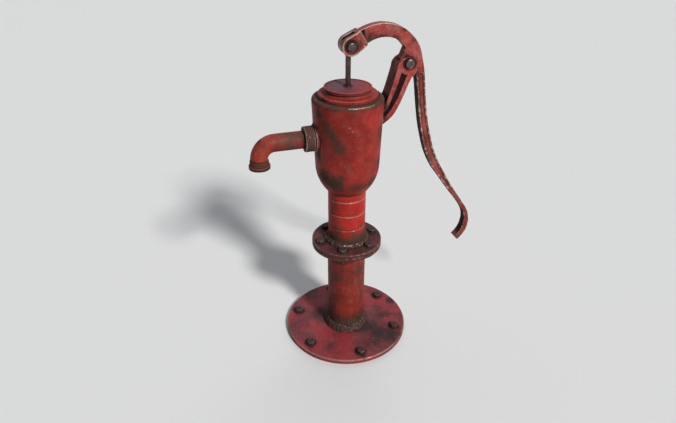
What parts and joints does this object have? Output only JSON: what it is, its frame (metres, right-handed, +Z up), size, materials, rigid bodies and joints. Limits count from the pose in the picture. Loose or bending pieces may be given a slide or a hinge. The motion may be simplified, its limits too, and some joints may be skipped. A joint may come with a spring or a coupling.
{
  "type": "hand well pump",
  "caption": "Hand-worked lift pump on a flanged stand pipe with a round floor plate, a bent spout, and a forked lever that lifts a plunger rod",
  "frame": {"origin": "on the pump's axis at the underside of the floor plate, the mouth of the suction socket", "axes": "+Z up along the pump's axis, +X towards the handle, -X towards the spout, +Y the side away from the pin heads"},
  "size_m": [0.5891, 0.335, 0.8351],
  "materials": {
    "red_casting": "weathered red paint on cast iron, rust showing through",
    "red_pipe": "weathered red paint on turned steel pipe",
    "red_plate": "worn crimson paint on plate, dark bare patches",
    "flange_plate": "old purple-brown primer on flange plate",
    "lever_paint": "faded red paint on a casting, worn bright at the edges",
    "weld_bead": "brown rusted weld bead",
    "bolt_steel": "rusted steel fasteners",
    "collar_iron": "bare iron fittings, brown and rubbed bright",
    "pin_steel": "bare dull steel",
    "rod_steel": "bare steel, browned",
    "plain_iron": "plain dark iron",
    "bronze": "dull bronze",
    "oiled_leather": "oiled leather",
    "seal_rubber": "black rubber"
  },
  "bodies": {
    "pump": {"base_plate": "red_plate", "anchor_bolts": "bolt_steel", "foot_weld": "weld_bead", "suction_socket": "plain_iron", "stand_pipe": "red_pipe", "lower_flange": "flange_plate", "gasket": "oiled_leather", "upper_flange": "flange_plate", "flange_bolts": "bolt_steel", "flange_nuts": "bolt_steel", "barrel": "red_pipe", "barrel_weld": "weld_bead", "bowl": "red_casting", "spout_washer": "seal_rubber", "spout_collar": "collar_iron", "spout_pipe": "red_pipe", "spout_nose": "collar_iron", "cap": "red_casting", "cap_screws": "bolt_steel", "rod_bush": "bronze", "handle_bracket": "lever_paint", "fulcrum_pin": "pin_steel", "fulcrum_washer": "pin_steel", "fulcrum_cotter": "pin_steel"},
    "handle": {"lever": "lever_paint", "fork_pin": "pin_steel", "fork_washer": "pin_steel", "fork_cotter": "pin_steel"},
    "rod": {"rod_head": "rod_steel", "piston_rod": "rod_steel", "valve_stop": "rod_steel", "plunger_body": "plain_iron", "cup_leather": "oiled_leather", "plunger_follower": "plain_iron", "plunger_nut": "rod_steel"},
    "plunger_valve_disc": {"plunger_valve": "bronze"},
    "foot_valve": {"flap_leather": "oiled_leather", "flap_weight": "plain_iron", "flap_rivet": "bronze"}
  },
  "joints": [
    {"name": "handle_pivot", "type": "hinge", "parent": "pump", "child": "handle", "pos_m": [0.139, 0, 0.745], "axis": [0, -1, 0], "range_deg": [0, 25]},
    {"name": "rod_slide", "type": "slide", "parent": "pump", "child": "rod", "axis": [0, 0, -1], "range_m": [0, 0.0625]},
    {"name": "valve_lift", "type": "slide", "parent": "rod", "child": "plunger_valve_disc", "axis": [0, 0, 1], "range_m": [0, 0.008]},
    {"name": "flap_swing", "type": "hinge", "parent": "pump", "child": "foot_valve", "pos_m": [0.0365, 0, 0.286], "axis": [0, 1, 0], "range_deg": [0, 30]}
  ],
  "couplings": [
    {"joint": "rod_slide", "follows": "handle_pivot", "m_per_rad": 0.1425}
  ]
}
